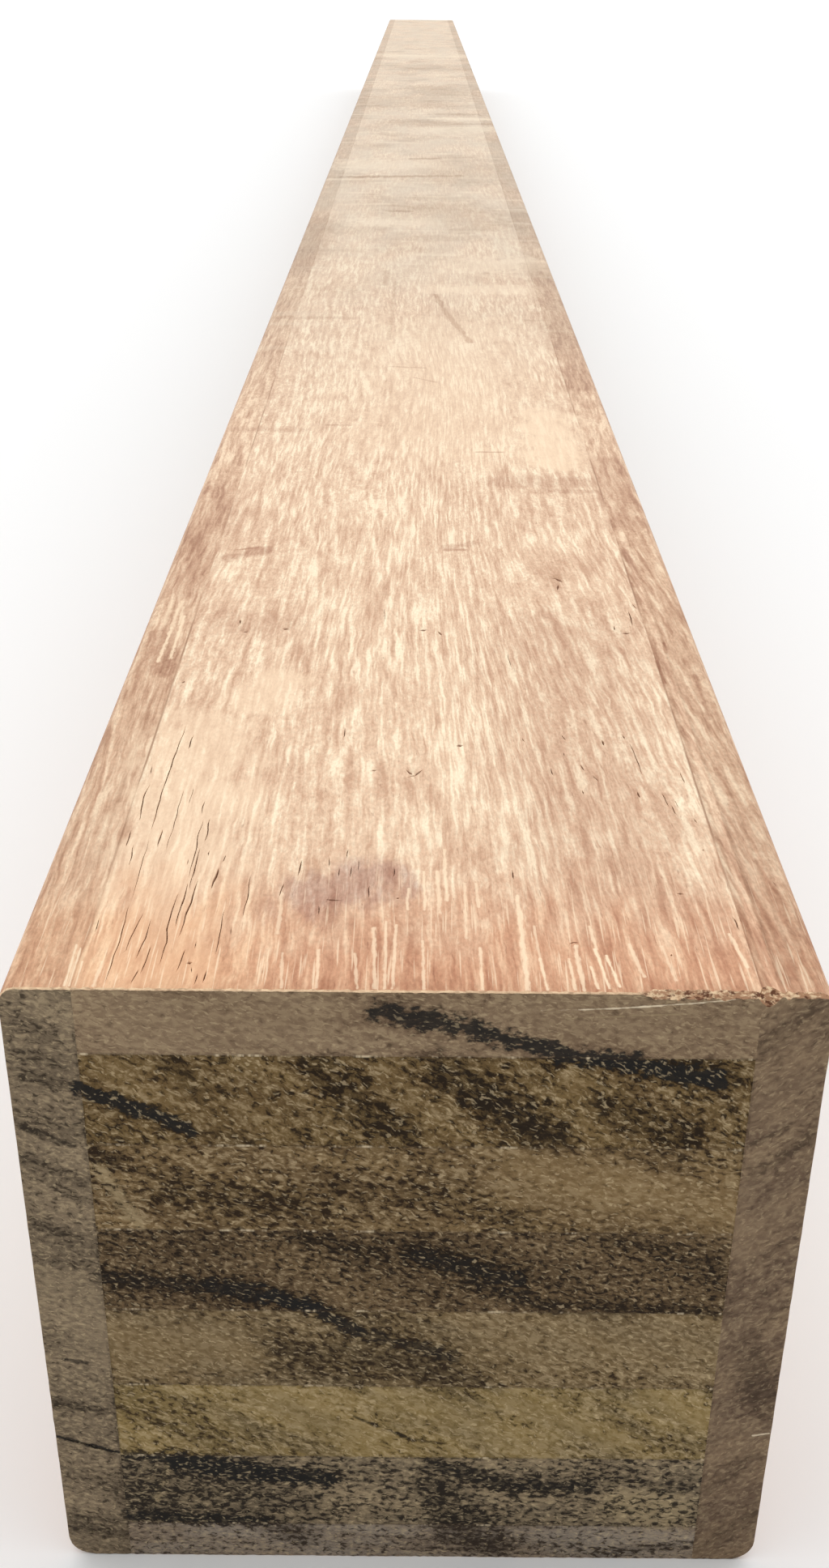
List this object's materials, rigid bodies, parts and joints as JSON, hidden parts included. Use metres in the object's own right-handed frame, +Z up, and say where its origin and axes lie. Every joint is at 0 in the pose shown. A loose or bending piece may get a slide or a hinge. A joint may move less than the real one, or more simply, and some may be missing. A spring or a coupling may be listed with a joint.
{
  "type": "laminated timber post",
  "caption": "Square glued laminated hardwood post: flat lamellae stacked between two upright face boards, planed all round, long edges eased, both ends sawn square.",
  "frame": {"origin": "on the floor under the middle of the post", "axes": "+Y along the post, away from the end that faces the viewer; +X to the right; +Z up"},
  "size_m": [0.135, 3.6, 0.135],
  "materials": {
    "face_board": "planed bare timber, sawn ends",
    "top_lamella": "planed bare timber, sawn ends",
    "grey_lamella": "planed bare timber, sawn ends",
    "olive_lamella": "planed bare timber, sawn ends",
    "dark_lamella": "planed bare timber, sawn ends"
  },
  "bodies": {
    "root": {"left_face_board": "face_board", "right_face_board": "face_board", "bottom_lamella": "grey_lamella", "core_lamella_1": "dark_lamella", "core_lamella_2": "olive_lamella", "core_lamella_3": "grey_lamella", "core_lamella_4": "dark_lamella", "core_lamella_5": "grey_lamella", "core_lamella_6": "olive_lamella", "top_lamella": "top_lamella"}
  },
  "joints": []
}
